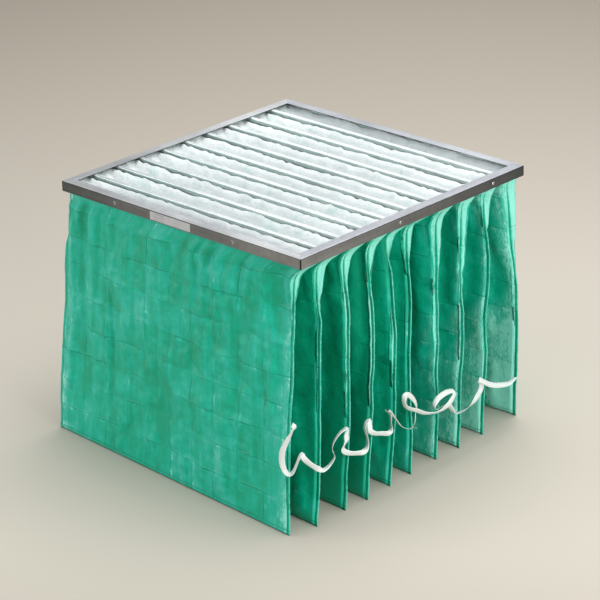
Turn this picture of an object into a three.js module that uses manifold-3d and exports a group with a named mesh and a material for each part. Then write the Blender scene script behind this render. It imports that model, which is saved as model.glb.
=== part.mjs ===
// Bag air filter: a square header frame of galvanised sheet steel with ten sewn pockets hanging from it.
// Millimetres. X runs along the pocket mouths, Y across them, Z up from the floor that the hems rest on.
import * as THREE from 'three';
import { mergeVertices } from 'three/addons/utils/BufferGeometryUtils.js';
import Module from 'manifold-3d';

const wasm = await Module();
wasm.setup();

// Overall sizes
const drawnLength = 592;
const headerLength = 592;
const headerWidth = 592;
const headerDepth = 20;
const overallHeight = 520;
const pocketCount = 10;

// Folded sheet of the header rails
const railSheet = 1;
const faceFlange = 20;
const returnLip = 3;
const bendRadius = 1.2;
const mitreGap = 0.3;
const fitGap = 0.3;

// Corner brackets inside the rails
const bracketSheet = 1;
const bracketLeg = 30;

// Channel strips that clamp the pocket mouths
const stripWidth = 8;
const stripSheet = 0.8;
const stripBend = 1;
const stripLeg = 10;
const notchReach = 2.6;
const rivetRoom = 1.6;

// Blind rivets, placed along each rail as shares of its half length from the middle
const rivetHeadRadius = 3.3;
const rivetHeadHeight = 1.1;
const rivetShankRadius = 1.6;
const rivetTailRadius = 2.4;
const rivetTailHeight = 0.9;
const rivetClearance = 0.2;
const rivetSeat = 0.1;
const rivetShares = {
  front: [-0.534, 0.459],
  right: [-0.142, 0.709],
  back: [-0.5, 0.5],
  left: [-0.5, 0.5],
};

// Paper label on the front rail
const labelLength = 100;
const labelHeight = 15.5;
const labelThickness = 0.3;
const labelOffset = -17;

// Pocket cloth and its fleece lining
const skin = 1.2;
const skinGap = 0.15;
const liningGap = 0.2;
const liningGapBelow = 2;
const liningAtMouth = 1.3;
const liningBelow = 3;
const hemHeight = 12;
const hemHalf = 1.3;
const thinnest = 0.3;
const finLength = 7;
const finHalf = 1.1;
const foldDrop = 150;
const bulge = 1.4;
const seamInset = 5;
const liningInset = 16;
const liningEnd = 18;
const leftSwing = 0.3;
const bowDepth = 5;

// How each pocket happens to hang: the swing of its hem across the header at the right-hand end,
// and its lean along the header just below the rail, halfway down and at the hem.
const hangs = [
  { swing: -56, lean: [-27, -40, -44] },
  { swing: -58, lean: [-26, -26, -30] },
  { swing: -38, lean: [-20, -18, -34] },
  { swing: -40, lean: [-14, -14, -31] },
  { swing: -31, lean: [-24, -16, -37] },
  { swing: -29, lean: [-30, -33, -40] },
  { swing: -11, lean: [-14, -27, -45] },
  { swing: -5, lean: [0, -20, -44] },
  { swing: 9, lean: [2, -18, -48] },
  { swing: 56, lean: [8, -14, -54] },
];

// Share of a mouth's width that the pocket gains along the header, against the share of its drop
const widthGain = [[0, 0], [0.05, -0.26], [0.17, -0.03], [0.32, 0.17], [0.54, 0.35], [0.76, 0.64], [1, 0.93]];

// Places along a pocket's wall, as shares of its half length, where the cloth is shaped
const wallPlaces = [-1, -0.72, -0.26, 0.26, 0.72, 1];
const liningPlaces = [-1, -0.5, 0.5, 1];
const lensShape = wallPlaces.map((place) => [place, 1 - Math.abs(place) ** 3]);
const bowShape = wallPlaces.map((place) => [place, Math.cos((Math.PI / 2) * place)]);

// Spacer tape, sewn to the side seams of some pockets and looping freely between them.
// A free point is given by its place across the header in pocket pitches, its height,
// and how far it lies from the header's middle where the header is as long as drawn.
const tapeWidth = 8;
const tapeThickness = 0.8;
const tapeRoute = [
  { sewnTo: 0, height: 198 },
  [-5.3, 182, 268],
  [-5.42, 150, 262],
  [-5.38, 124, 264],
  [-5.26, 116, 272],
  [-5.15, 138, 281],
  [-5.08, 155, 288],
  [-4.77, 131, 294],
  [-4.32, 112, 299],
  [-3.86, 136, 300],
  [-3.36, 160, 302],
  [-3.14, 159, 303],
  [-3.2, 138, 301],
  [-2.94, 114, 303],
  [-2.45, 120, 303],
  [-2.4, 148, 302],
  { sewnTo: 3, height: 162 },
  [-1.9, 138, 305],
  [-1.68, 122, 307],
  [-1.42, 133, 306],
  [-1.42, 156, 303],
  [-1.2, 158, 303],
  [-1.08, 138, 303],
  [-0.55, 114, 304],
  [-0.2, 126, 301],
  { sewnTo: 5, height: 164 },
  [0.24, 142, 303],
  [0.4, 121, 303],
  [0.93, 134, 303],
  [1.72, 134, 303],
  [1.46, 113, 304],
  [1.76, 96, 304],
  [2.49, 95, 303],
  [3.0, 108, 300],
  { sewnTo: 8, height: 122 },
  [3.9, 103, 295],
  [4.46, 93, 292],
  { sewnTo: 9, height: 94 },
];

// Values that follow from the sizes above
const headerTop = overallHeight;
const headerBase = overallHeight - headerDepth;
const stripOffset = railSheet + fitGap + bracketSheet + fitGap;
const stripTop = headerTop - railSheet - fitGap;
const stripBase = headerBase + railSheet + fitGap;
const stripReach = headerLength / 2 - stripOffset - stripWidth + notchReach - fitGap;
const mouthHalfLength = headerLength / 2 - stripOffset - stripSheet - rivetRoom;
const mouthHalfWidth = headerWidth / 2 - stripOffset - stripSheet - rivetRoom;
const pocketPitch = (2 * mouthHalfWidth) / pocketCount;
const mouthRim = stripTop - stripSheet - fitGap;
const mouthHalf = pocketPitch / 2 - skinGap;
const pocketTop = headerBase - 1;
const rivetHeight = headerTop - headerDepth / 2;

// The four sides: how far a piece made for the front is turned, its length, its distance out
// and the places of its rivets
function sideOf(turn, length, reach, shares) {
  return { turn, length, reach, rivets: shares.map((share) => (share * length) / 2) };
}

const sides = {
  front: sideOf(0, headerLength, headerWidth / 2, rivetShares.front),
  right: sideOf(Math.PI / 2, headerWidth, headerLength / 2, rivetShares.right),
  back: sideOf(Math.PI, headerLength, headerWidth / 2, rivetShares.back),
  left: sideOf(-Math.PI / 2, headerWidth, headerLength / 2, rivetShares.left),
};

const materials = {
  rail: { color: 0xb9bfc6, roughness: 0.38, metalness: 0.9 },
  strip: { color: 0xc9d2d0, roughness: 0.34, metalness: 0.9 },
  bracket: { color: 0xa9b0b4, roughness: 0.45, metalness: 0.9 },
  rivet: { color: 0xc3c6c9, roughness: 0.35, metalness: 0.95 },
  label: { color: 0xe9ebec, roughness: 0.6, metalness: 0 },
  cloth: { color: 0x2aa37d, roughness: 0.75, metalness: 0 },
  lining: { color: 0xf2f7f6, roughness: 0.95, metalness: 0 },
  tape: { color: 0xeef2ef, roughness: 0.45, metalness: 0 },
};

const filter = new THREE.Group();
const pieces = new THREE.Group();
filter.add(pieces);

function add(name, geometry, finish) {
  const mesh = new THREE.Mesh(geometry, new THREE.MeshStandardMaterial(materials[finish]));
  mesh.name = name;
  mesh.geometry.computeVertexNormals();
  pieces.add(mesh);
}

// A closed mesh with shared corners, no empty triangles, and its faces pointing out
function closed(geometry) {
  const bare = new THREE.BufferGeometry();
  bare.setAttribute('position', geometry.getAttribute('position').clone());
  if (geometry.index) {
    bare.setIndex(geometry.index.clone());
  }
  const merged = mergeVertices(bare, 1e-4);
  const source = merged.index.array;
  const kept = [];
  for (let i = 0; i < source.length; i += 3) {
    const [a, b, c] = [source[i], source[i + 1], source[i + 2]];
    if (a !== b && b !== c && c !== a) {
      kept.push(a, b, c);
    }
  }
  merged.setIndex(kept);
  if (volumeOf(merged) < 0) {
    const flipped = [];
    for (let i = 0; i < kept.length; i += 3) {
      flipped.push(kept[i], kept[i + 2], kept[i + 1]);
    }
    merged.setIndex(flipped);
  }
  return merged;
}

function volumeOf(geometry) {
  const place = geometry.getAttribute('position');
  const index = geometry.index.array;
  const [a, b, c] = [new THREE.Vector3(), new THREE.Vector3(), new THREE.Vector3()];
  let volume = 0;
  for (let i = 0; i < index.length; i += 3) {
    a.fromBufferAttribute(place, index[i]);
    b.fromBufferAttribute(place, index[i + 1]);
    c.fromBufferAttribute(place, index[i + 2]);
    volume += a.dot(b.cross(c)) / 6;
  }
  return volume;
}

function toSolid(geometry) {
  const merged = closed(geometry);
  return new wasm.Manifold(new wasm.Mesh({
    numProp: 3,
    vertProperties: new Float32Array(merged.getAttribute('position').array),
    triVerts: new Uint32Array(merged.index.array),
  }));
}

function toGeometry(solid) {
  const mesh = solid.getMesh();
  const geometry = new THREE.BufferGeometry();
  geometry.setAttribute('position', new THREE.BufferAttribute(mesh.vertProperties, 3));
  geometry.setIndex(new THREE.BufferAttribute(mesh.triVerts, 1));
  return geometry;
}

function cut(geometry, tools) {
  let solid = toSolid(geometry);
  for (const tool of tools) {
    solid = solid.subtract(toSolid(tool));
  }
  return toGeometry(solid);
}

// Moves a piece made for the front side to its own side of the header
function toSide(geometry, side) {
  geometry.translate(0, -side.reach, 0);
  geometry.rotateZ(side.turn);
  return geometry;
}

// Stands an extruded section along X: the section's own x runs inwards and its y runs up
function alongX(geometry) {
  const turned = new THREE.Matrix4().makeBasis(
    new THREE.Vector3(0, 1, 0),
    new THREE.Vector3(0, 0, 1),
    new THREE.Vector3(1, 0, 0),
  );
  return geometry.applyMatrix4(turned);
}

function boxBetween(low, high) {
  const size = new THREE.Vector3().subVectors(high, low);
  const box = new THREE.BoxGeometry(size.x, size.y, size.z);
  const middle = new THREE.Vector3().addVectors(low, high).multiplyScalar(0.5);
  box.translate(middle.x, middle.y, middle.z);
  return box;
}

// Straight lines between listed pairs of place and value
function between(pairs, place) {
  for (let i = 1; i < pairs.length; i += 1) {
    const [start, end] = [pairs[i - 1], pairs[i]];
    if (place <= end[0] || i === pairs.length - 1) {
      return start[1] + ((place - start[0]) / (end[0] - start[0])) * (end[1] - start[1]);
    }
  }
  return pairs[0][1];
}

// A drill for the rivets of one side, along the way in from the rail's face
function rivetHoles(side) {
  return side.rivets.map((place) => {
    const drill = new THREE.CylinderGeometry(
      rivetShankRadius + rivetClearance,
      rivetShankRadius + rivetClearance,
      2 * (stripOffset + 2 * stripSheet),
      12,
    );
    drill.translate(place, 0, rivetHeight);
    return drill;
  });
}

// Section of a rail: face flange on top, web outside, narrow return lip below
function railSection() {
  const section = new THREE.Shape();
  section.moveTo(faceFlange, headerTop);
  section.lineTo(bendRadius, headerTop);
  section.absarc(bendRadius, headerTop - bendRadius, bendRadius, Math.PI / 2, Math.PI, false);
  section.lineTo(0, headerBase + bendRadius);
  section.absarc(bendRadius, headerBase + bendRadius, bendRadius, Math.PI, 1.5 * Math.PI, false);
  section.lineTo(returnLip, headerBase);
  section.lineTo(returnLip, headerBase + railSheet);
  section.lineTo(railSheet, headerBase + railSheet);
  section.lineTo(railSheet, headerTop - railSheet);
  section.lineTo(faceFlange, headerTop - railSheet);
  return section;
}

// A rail with both ends mitred: each point of the section stops short by its distance inwards
function rail(side) {
  const geometry = new THREE.ExtrudeGeometry(railSection(), { depth: 1, bevelEnabled: false, curveSegments: 3 });
  const place = geometry.getAttribute('position');
  for (let i = 0; i < place.count; i += 1) {
    const end = place.getZ(i) < 0.5 ? -1 : 1;
    place.setZ(i, end * (side.length / 2 - place.getX(i) - mitreGap / 2));
  }
  return toSide(cut(alongX(geometry), rivetHoles(side)), side);
}

// Section of a channel strip, open below; its outer leg starts at the given distance inwards
function stripSection(start, outerFoot) {
  const section = new THREE.Shape();
  const end = start + stripWidth;
  const innerFoot = stripTop - stripLeg;
  section.moveTo(start, outerFoot);
  section.lineTo(start + stripSheet, outerFoot);
  section.lineTo(start + stripSheet, stripTop - stripSheet);
  section.lineTo(end - stripSheet, stripTop - stripSheet);
  section.lineTo(end - stripSheet, innerFoot);
  section.lineTo(end, innerFoot);
  section.lineTo(end, stripTop - stripBend);
  section.absarc(end - stripBend, stripTop - stripBend, stripBend, 0, Math.PI / 2, false);
  section.lineTo(start + stripBend, stripTop);
  section.absarc(start + stripBend, stripTop - stripBend, stripBend, Math.PI / 2, Math.PI, false);
  return section;
}

function strip(start, outerFoot, halfLength) {
  const shape = { depth: 2 * halfLength, bevelEnabled: false, curveSegments: 1 };
  const geometry = new THREE.ExtrudeGeometry(stripSection(start, outerFoot), shape);
  geometry.translate(0, 0, -halfLength);
  return alongX(geometry);
}

// Middles of all the strips that run along X, the two at the edges included
function stripMiddles() {
  const edge = headerWidth / 2 - stripOffset - stripWidth / 2;
  const middles = [-edge];
  for (let i = 1; i < pocketCount; i += 1) {
    middles.push(-mouthHalfWidth + i * pocketPitch);
  }
  middles.push(edge);
  return middles;
}

// The strip across the pocket ends, notched like a comb where the bars and the pocket walls come in
function endClip(side) {
  const clip = strip(stripOffset, stripBase, headerWidth / 2 - stripOffset);
  const inner = stripOffset + stripWidth;
  const notches = stripMiddles().map((middle) => boxBetween(
    new THREE.Vector3(middle - stripWidth / 2 - fitGap, inner - notchReach, stripBase - 1),
    new THREE.Vector3(middle + stripWidth / 2 + fitGap, inner + 1, stripTop + 1),
  ));
  return toSide(cut(clip, [...notches, ...rivetHoles(side)]), side);
}

function edgeBar(side) {
  return toSide(cut(strip(stripOffset, stripBase, stripReach), rivetHoles(side)), side);
}

function dividerBar(middle) {
  const bar = strip(-stripWidth / 2, stripTop - stripLeg, stripReach);
  bar.translate(0, middle, 0);
  return closed(bar);
}

// An angle of sheet that stands in the corner of two rails
function cornerBracket(alongSign, acrossSign) {
  const start = railSheet + fitGap;
  const shape = new THREE.Shape();
  shape.moveTo(start, start);
  shape.lineTo(bracketLeg, start);
  shape.lineTo(bracketLeg, start + bracketSheet);
  shape.lineTo(start + bracketSheet, start + bracketSheet);
  shape.lineTo(start + bracketSheet, bracketLeg);
  shape.lineTo(start, bracketLeg);
  const geometry = new THREE.ExtrudeGeometry(shape, { depth: stripTop - stripBase, bevelEnabled: false });
  geometry.translate(-headerLength / 2, -headerWidth / 2, stripBase);
  geometry.scale(-alongSign, -acrossSign, 1);
  return closed(geometry);
}

// A blind rivet: domed head with the hollow that its mandrel left, shank and set tail
function rivet(side, place) {
  const tailStart = stripOffset + stripSheet + rivetSeat;
  const tailEnd = tailStart + rivetTailHeight;
  const outline = [
    [0, -rivetHeadHeight / 2],
    [rivetShankRadius * 0.55, -rivetHeadHeight / 2],
    [rivetShankRadius * 0.75, -rivetHeadHeight],
    [rivetHeadRadius * 0.7, -rivetHeadHeight * 0.8],
    [rivetHeadRadius, -rivetSeat],
    [rivetShankRadius, -rivetSeat],
    [rivetShankRadius, tailStart],
    [rivetTailRadius, tailStart],
    [rivetTailRadius * 0.8, tailEnd],
    [0, tailEnd],
  ];
  const geometry = new THREE.LatheGeometry(outline.map(([x, y]) => new THREE.Vector2(x, y)), 8);
  geometry.translate(place, 0, rivetHeight);
  return toSide(closed(geometry), side);
}

function ratingLabel() {
  const face = -headerWidth / 2 - rivetSeat;
  return boxBetween(
    new THREE.Vector3(labelOffset - labelLength / 2, face - labelThickness, rivetHeight - labelHeight / 2),
    new THREE.Vector3(labelOffset + labelLength / 2, face, rivetHeight + labelHeight / 2),
  );
}

// Everything about a pocket's section at one height, before any inset
function hang(number, height) {
  const drop = Math.min(Math.max((pocketTop - height) / pocketTop, 0), 1);
  const own = hangs[number % hangs.length];
  const [upper, middle, hem] = own.lean;
  const open = Math.max(1 - (pocketTop - height) / foldDrop, 0);
  const gain = between(widthGain, drop) * pocketPitch;
  const fin = finLength * Math.min(drop / 0.17, 1) + 0.3;
  return {
    drop,
    mouth: -mouthHalfWidth + (number + 0.5) * pocketPitch,
    swing: own.swing * drop ** 1.1,
    bow: bowDepth * Math.sin(2.4 * number) * Math.sin(Math.PI * drop) ** 2,
    lean: between([[0, 0], [0.08, upper], [0.54, middle], [1, hem]], drop),
    fin,
    halfLength: mouthHalfLength + gain / 2 - (height > pocketTop ? 0 : fin),
    halfWidth: hemHalf + (mouthHalf - hemHalf) * (1 - drop ** bulge),
    endHalf: hemHalf + (mouthHalf - hemHalf) * Math.min(open, 1),
  };
}

// Where the middle of a pocket lies at a share of its half length
function middleLine(at, share) {
  const swingHere = at.swing * ((1 + leftSwing) / 2 + ((1 - leftSwing) / 2) * share);
  return at.mouth + swingHere + at.bow * between(bowShape, share);
}

// The ring of points round a pocket at one height, seen from above and running anticlockwise
function ring(number, height, inset, endInset, places, fins) {
  const at = hang(number, height);
  const closedShare = 1 - (at.endHalf - hemHalf) / (mouthHalf - hemHalf);
  const halfLength = at.halfLength - inset - endInset * closedShare;
  const wall = (place, sign) => {
    const share = (place * halfLength) / at.halfLength;
    const outerHalf = at.endHalf + (at.halfWidth - at.endHalf) * between(lensShape, share);
    const half = Math.max(outerHalf - inset, thinnest);
    return new THREE.Vector3(at.lean + place * halfLength, middleLine(at, share) + sign * half, height);
  };
  const front = places.map((place) => wall(place, -1));
  const back = places.map((place) => wall(-place, 1));
  if (!fins) {
    return [...front, ...back];
  }
  const seam = (side) => {
    const line = middleLine(at, side);
    const root = at.lean + side * (halfLength + 0.3);
    const tip = root + side * at.fin;
    return [
      new THREE.Vector3(root, line - side * finHalf, height),
      new THREE.Vector3(tip, line - side * finHalf, height),
      new THREE.Vector3(tip, line + side * finHalf, height),
      new THREE.Vector3(root, line + side * finHalf, height),
    ];
  };
  return [...front, ...seam(1), ...back, ...seam(-1)];
}

// A closed skin over a stack of rings, first ring on top, with both ends capped
function loft(rings) {
  const count = rings[0].length;
  const points = rings.flat();
  const faces = [];
  for (let level = 0; level + 1 < rings.length; level += 1) {
    for (let i = 0; i < count; i += 1) {
      const [a, b] = [level * count + i, level * count + ((i + 1) % count)];
      const [c, d] = [a + count, b + count];
      faces.push(a, c, d, a, d, b);
    }
  }
  for (const level of [0, rings.length - 1]) {
    const outline = rings[level].map((point) => new THREE.Vector2(point.x, point.y));
    for (const [a, b, c] of THREE.ShapeUtils.triangulateShape(outline, [])) {
      const start = level * count;
      faces.push(...(level === 0 ? [start + a, start + b, start + c] : [start + a, start + c, start + b]));
    }
  }
  const geometry = new THREE.BufferGeometry().setFromPoints(points);
  geometry.setIndex(faces);
  return geometry;
}

// Heights where a pocket is shaped, from the header's underside down to the top of the hem
function shapeHeights() {
  const foldEnd = pocketTop - 1.05 * foldDrop;
  const below = [0, 1 / 3, 2 / 3, 1].map((share) => foldEnd + share * (hemHeight - foldEnd));
  return [pocketTop, pocketTop - 0.16 * foldDrop, pocketTop - 0.55 * foldDrop, ...below];
}

// The green cloth bag: two panels folded at the hem and sewn up both sides, open at the mouth
function pocket(number) {
  const heights = shapeHeights();
  const outside = [mouthRim, ...heights, 0].map((height) => ring(number, height, 0, 0, wallPlaces, true));
  const lowest = heights.length - 1;
  const inside = [mouthRim + 1, ...heights].map((height, i) => {
    const level = i === lowest + 1 ? hemHeight + 2 : height;
    return ring(number, level, skin, seamInset, wallPlaces, false);
  });
  return cut(loft(outside), [loft(inside)]);
}

// The white fleece that lines the bag down to the hem
function lining(number) {
  const heights = shapeHeights();
  const lowest = heights.length;
  const start = (i) => skin + (i < 2 ? liningGap : liningGapBelow);
  const outside = [mouthRim - fitGap, ...heights].map((height, i) => {
    const level = i === lowest ? hemHeight + liningEnd : height;
    return ring(number, level, start(i), liningInset, liningPlaces, false);
  });
  const inside = [mouthRim + 1, ...heights].map((height, i) => {
    const thickness = i < 2 ? liningAtMouth : liningBelow;
    const level = i === lowest ? hemHeight + liningEnd + liningBelow : height;
    return ring(number, level, start(i) + thickness, liningInset, liningPlaces, false);
  });
  return cut(loft(outside), [loft(inside)]);
}

// Middle of the tape at each point of its route
function tapePoint(point) {
  if (Array.isArray(point)) {
    const [across, height, out] = point;
    return new THREE.Vector3(out + (headerLength - drawnLength) / 2, across * pocketPitch, height);
  }
  const at = hang(point.sewnTo, point.height);
  const tip = at.lean + at.halfLength + thinnest + at.fin;
  return new THREE.Vector3(tip + fitGap + tapeWidth / 2, middleLine(at, 1), point.height);
}

// A flat ribbon that keeps its width square to the header's end and bends only about it
function spacerTape() {
  const route = new THREE.CatmullRomCurve3(tapeRoute.map(tapePoint), false, 'centripetal');
  const wide = new THREE.Vector3(tapeWidth / 2, 0, 0);
  const steps = 2 * (tapeRoute.length - 1);
  const rings = [];
  for (let i = 0; i <= steps; i += 1) {
    const middle = route.getPoint(i / steps);
    const ahead = route.getTangent(i / steps);
    const thick = new THREE.Vector3().crossVectors(ahead, wide).setLength(tapeThickness / 2);
    rings.push([[1, 1], [-1, 1], [-1, -1], [1, -1]].map(([a, b]) => (
      middle.clone().addScaledVector(wide, a).addScaledVector(thick, b)
    )));
  }
  return closed(sweep(rings));
}

// A closed ribbon over four-cornered rings along a route
function sweep(rings) {
  const count = rings[0].length;
  const faces = [];
  for (let step = 0; step + 1 < rings.length; step += 1) {
    for (let i = 0; i < count; i += 1) {
      const [a, b] = [step * count + i, step * count + ((i + 1) % count)];
      faces.push(a, b, b + count, a, b + count, a + count);
    }
  }
  const last = (rings.length - 1) * count;
  faces.push(0, 2, 1, 0, 3, 2, last, last + 1, last + 2, last, last + 2, last + 3);
  const geometry = new THREE.BufferGeometry().setFromPoints(rings.flat());
  geometry.setIndex(faces);
  return geometry;
}

add('front_rail', rail(sides.front), 'rail');
add('right_rail', rail(sides.right), 'rail');
add('back_rail', rail(sides.back), 'rail');
add('left_rail', rail(sides.left), 'rail');

const corners = [[-1, -1], [1, -1], [1, 1], [-1, 1]];
corners.forEach(([alongSign, acrossSign], i) => {
  add(`corner_bracket_${i + 1}`, cornerBracket(alongSign, acrossSign), 'bracket');
});

add('edge_bar_front', edgeBar(sides.front), 'strip');
add('edge_bar_back', edgeBar(sides.back), 'strip');
add('end_clip_right', endClip(sides.right), 'strip');
add('end_clip_left', endClip(sides.left), 'strip');

stripMiddles().slice(1, -1).forEach((middle, i) => {
  add(`divider_bar_${i + 1}`, dividerBar(middle), 'strip');
});

let rivetNumber = 0;
for (const side of [sides.front, sides.right, sides.back, sides.left]) {
  for (const place of side.rivets) {
    rivetNumber += 1;
    add(`rivet_${rivetNumber}`, rivet(side, place), 'rivet');
  }
}

add('rating_label', closed(ratingLabel()), 'label');

for (let i = 0; i < pocketCount; i += 1) {
  add(`pocket_${i + 1}`, pocket(i), 'cloth');
  add(`lining_${i + 1}`, lining(i), 'lining');
}

add('spacer_tape', spacerTape(), 'tape');

// The model's origin is the middle of its box, on the floor
const box = new THREE.Box3().setFromObject(pieces);
pieces.position.set(-(box.min.x + box.max.x) / 2, -(box.min.y + box.max.y) / 2, -box.min.z);
filter.updateMatrixWorld(true);

export default filter;
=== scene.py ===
import math

import bmesh
import bpy
from mathutils import Matrix, Vector, noise


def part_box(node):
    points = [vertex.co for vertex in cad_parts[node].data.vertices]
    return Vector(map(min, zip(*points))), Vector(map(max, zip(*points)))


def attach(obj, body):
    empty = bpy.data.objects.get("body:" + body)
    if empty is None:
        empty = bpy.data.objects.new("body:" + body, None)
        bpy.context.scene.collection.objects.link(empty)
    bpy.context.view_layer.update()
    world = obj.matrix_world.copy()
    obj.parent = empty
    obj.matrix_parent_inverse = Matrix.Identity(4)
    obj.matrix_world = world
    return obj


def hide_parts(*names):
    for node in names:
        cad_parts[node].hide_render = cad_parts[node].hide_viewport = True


# Bag air filter standing on its own pocket hems: a galvanised header frame, bars across its face,
# ten green cloth pockets lined with white fleece, and a white ribbon along their lower corners.
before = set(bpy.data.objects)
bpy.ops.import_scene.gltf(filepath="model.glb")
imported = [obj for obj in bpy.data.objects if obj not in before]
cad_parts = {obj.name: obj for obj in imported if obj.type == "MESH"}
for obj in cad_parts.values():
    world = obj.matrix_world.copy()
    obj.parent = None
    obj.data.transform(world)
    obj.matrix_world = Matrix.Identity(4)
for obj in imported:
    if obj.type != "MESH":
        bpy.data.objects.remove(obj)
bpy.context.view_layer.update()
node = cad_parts


# The place it stands in: a pale warm paper sweep on a studio table. It is one flat sheet, its colour
# painted palest round the filter as a pool of painted light and darker towards the near and far ends
# as painted shade, lit by a large soft box above and behind and by weaker ones at the sides.
# Painted shade on the paper near and far, painted light round the filter.
SWEEP_NEAR_SHADE = (0.385, 0.357, 0.308)
SWEEP_MIDDLE_LIGHT = (0.545, 0.503, 0.437)
SWEEP_FAR_SHADE = (0.44, 0.39, 0.318)
SWEEP_HALF = 6.0
NEAR_STRETCH = (-1.3, -0.35)
FAR_STRETCH = (0.2, 3.2)
SWEEP_TURN = math.radians(-134)


class Finish:
    """A material made of nodes, with the few steps that the finishes here share."""

    def __init__(self, name):
        self.material = bpy.data.materials.new(name)
        self.material.use_nodes = True
        self.nodes = self.material.node_tree.nodes
        self.links = self.material.node_tree.links
        self.shader = self.nodes["Principled BSDF"]

    def put(self, socket, value):
        """Links a socket, or sets a number or colour on it."""
        if isinstance(value, bpy.types.NodeSocket):
            self.links.new(value, socket)
        elif isinstance(value, tuple) and socket.type == "RGBA":
            socket.default_value = (*value, 1)
        else:
            socket.default_value = value

    def step(self, kind, output=0, **settings):
        """Adds a node, sets its own settings, and gives one of its outputs."""
        added = self.nodes.new("ShaderNode" + kind)
        inputs = settings.pop("inputs", {})
        for key, value in settings.items():
            setattr(added, key, value)
        for key, value in inputs.items():
            self.put(added.inputs[key], value)
        return added.outputs[output]

    def place(self):
        return self.step("TexCoord", "Object")

    def stretch(self, where, scale, turn=0.0):
        return self.step("Mapping", inputs={"Vector": where, "Scale": scale, "Rotation": (0, 0, turn)})

    def parts(self, where):
        split = self.step("SeparateXYZ", inputs={"Vector": where}).node
        return split.outputs["X"], split.outputs["Y"], split.outputs["Z"]

    def sum(self, operation, *values):
        return self.step("Math", operation=operation, inputs=dict(enumerate(values)))

    def spread(self, value, start, end, low=0.0, high=1.0, soft=False):
        """Carries the stretch from start to end over to the stretch from low to high."""
        return self.step(
            "MapRange", interpolation_type="SMOOTHSTEP" if soft else "LINEAR",
            inputs={"Value": value, "From Min": start, "From Max": end, "To Min": low, "To Max": high},
        )

    def noise(self, where, scale, detail=2.0, rough=0.5, twist=0.0):
        return self.step("TexNoise", inputs={
            "Vector": where, "Scale": scale, "Detail": detail, "Roughness": rough, "Distortion": twist,
        })

    def mix(self, share, first, second):
        mixed = self.step("Mix", data_type="RGBA").node
        self.put(mixed.inputs["Factor"], share)
        self.put(mixed.inputs["A"], first)
        self.put(mixed.inputs["B"], second)
        return mixed.outputs["Result"]

    def relief(self, height, strength, distance, under=None, sunk=False):
        bump = self.step("Bump", invert=sunk, inputs={
            "Height": height, "Strength": strength, "Distance": distance,
        })
        if under is not None:
            self.put(bump.node.inputs["Normal"], under)
        return bump

    def finish(self, **sockets):
        """Sets the shader's sockets, named with _ for a space, and gives the material."""
        for key, value in sockets.items():
            self.put(self.shader.inputs[key.replace("_", " ")], value)
        return self.material


def sweep_paper():
    paper = Finish("sweep_paper")
    towards_back = paper.parts(paper.stretch(paper.place(), (1, 1, 1), SWEEP_TURN))[0]
    near = paper.spread(towards_back, *NEAR_STRETCH, soft=True)
    far = paper.spread(towards_back, *FAR_STRETCH, soft=True)
    tone = paper.mix(far, paper.mix(near, SWEEP_NEAR_SHADE, SWEEP_MIDDLE_LIGHT), SWEEP_FAR_SHADE)
    return paper.finish(Base_Color=tone, Roughness=0.9, Specular_IOR_Level=0.2)


def new_piece(name, bm, finish, smooth=True):
    """Makes an object of a bmesh, at the origin, with one material."""
    mesh = bpy.data.meshes.new(name)
    for face in bm.faces:
        face.smooth = smooth
    bm.to_mesh(mesh)
    bm.free()
    mesh.materials.append(finish)
    piece = bpy.data.objects.new(name, mesh)
    bpy.context.collection.objects.link(piece)
    return piece


bm = bmesh.new()
bmesh.ops.create_grid(bm, x_segments=1, y_segments=1, size=SWEEP_HALF)
new_piece("studio_sweep", bm, sweep_paper())


def soft_box(name, place, target, width, watts, tint):
    lamp = bpy.data.lights.new(name, "AREA")
    lamp.shape = "SQUARE"
    lamp.size = width
    lamp.energy = watts
    lamp.color = tint
    holder = bpy.data.objects.new(name, lamp)
    holder.location = place
    holder.rotation_euler = (Vector(target) - Vector(place)).to_track_quat("-Z", "Y").to_euler()
    bpy.context.collection.objects.link(holder)


soft_box("top_box", (0.3, 0.5, 2.8), (0, 0, 0.2), 2.2, 62, (1.0, 0.985, 0.96))
soft_box("right_box", (3.0, -0.5, 1.1), (0, 0, 0.25), 1.4, 56, (1.0, 1.0, 0.98))
soft_box("back_box", (-1.6, 2.4, 1.5), (0, 0, 0.5), 1.6, 8, (0.96, 0.98, 1.0))
soft_box("left_box", (-2.4, -2.6, 1.1), (0, -0.3, 0.3), 1.5, 38, (1.0, 1.0, 1.0))

AIR_TINT = (0.95, 0.97, 1.0, 1)
AIR_STRENGTH = 0.56
world = bpy.data.worlds.new("studio_air")
world.use_nodes = True
world.node_tree.nodes["Background"].inputs["Color"].default_value = AIR_TINT
world.node_tree.nodes["Background"].inputs["Strength"].default_value = AIR_STRENGTH
bpy.context.scene.world = world
bpy.context.scene.view_settings.view_transform = "Standard"

# The camera looks down on the corner between the front and right rails, through a long lens.
front_low, front_high = (Vector(corner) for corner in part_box("front_rail"))
back_high = Vector(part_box("back_rail")[1])
HEADER_X = (front_low.x + front_high.x) / 2
HEADER_TOP = front_high.z
HEADER_BASE = front_low.z
HALF_LENGTH = (front_high.x - front_low.x) / 2
HALF_WIDTH = (back_high.y - front_low.y) / 2
CAMERA_OFFSET = Vector((3.2679, -3.4027, 1.7418))
CAMERA_YAW = 2.3346149
CAMERA_PITCH = -0.3995151
CAMERA_ROLL = -0.0254772
CAMERA_LENS = 166.41
CAMERA_SENSOR = 36
CAMERA_REACH = 50

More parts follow.
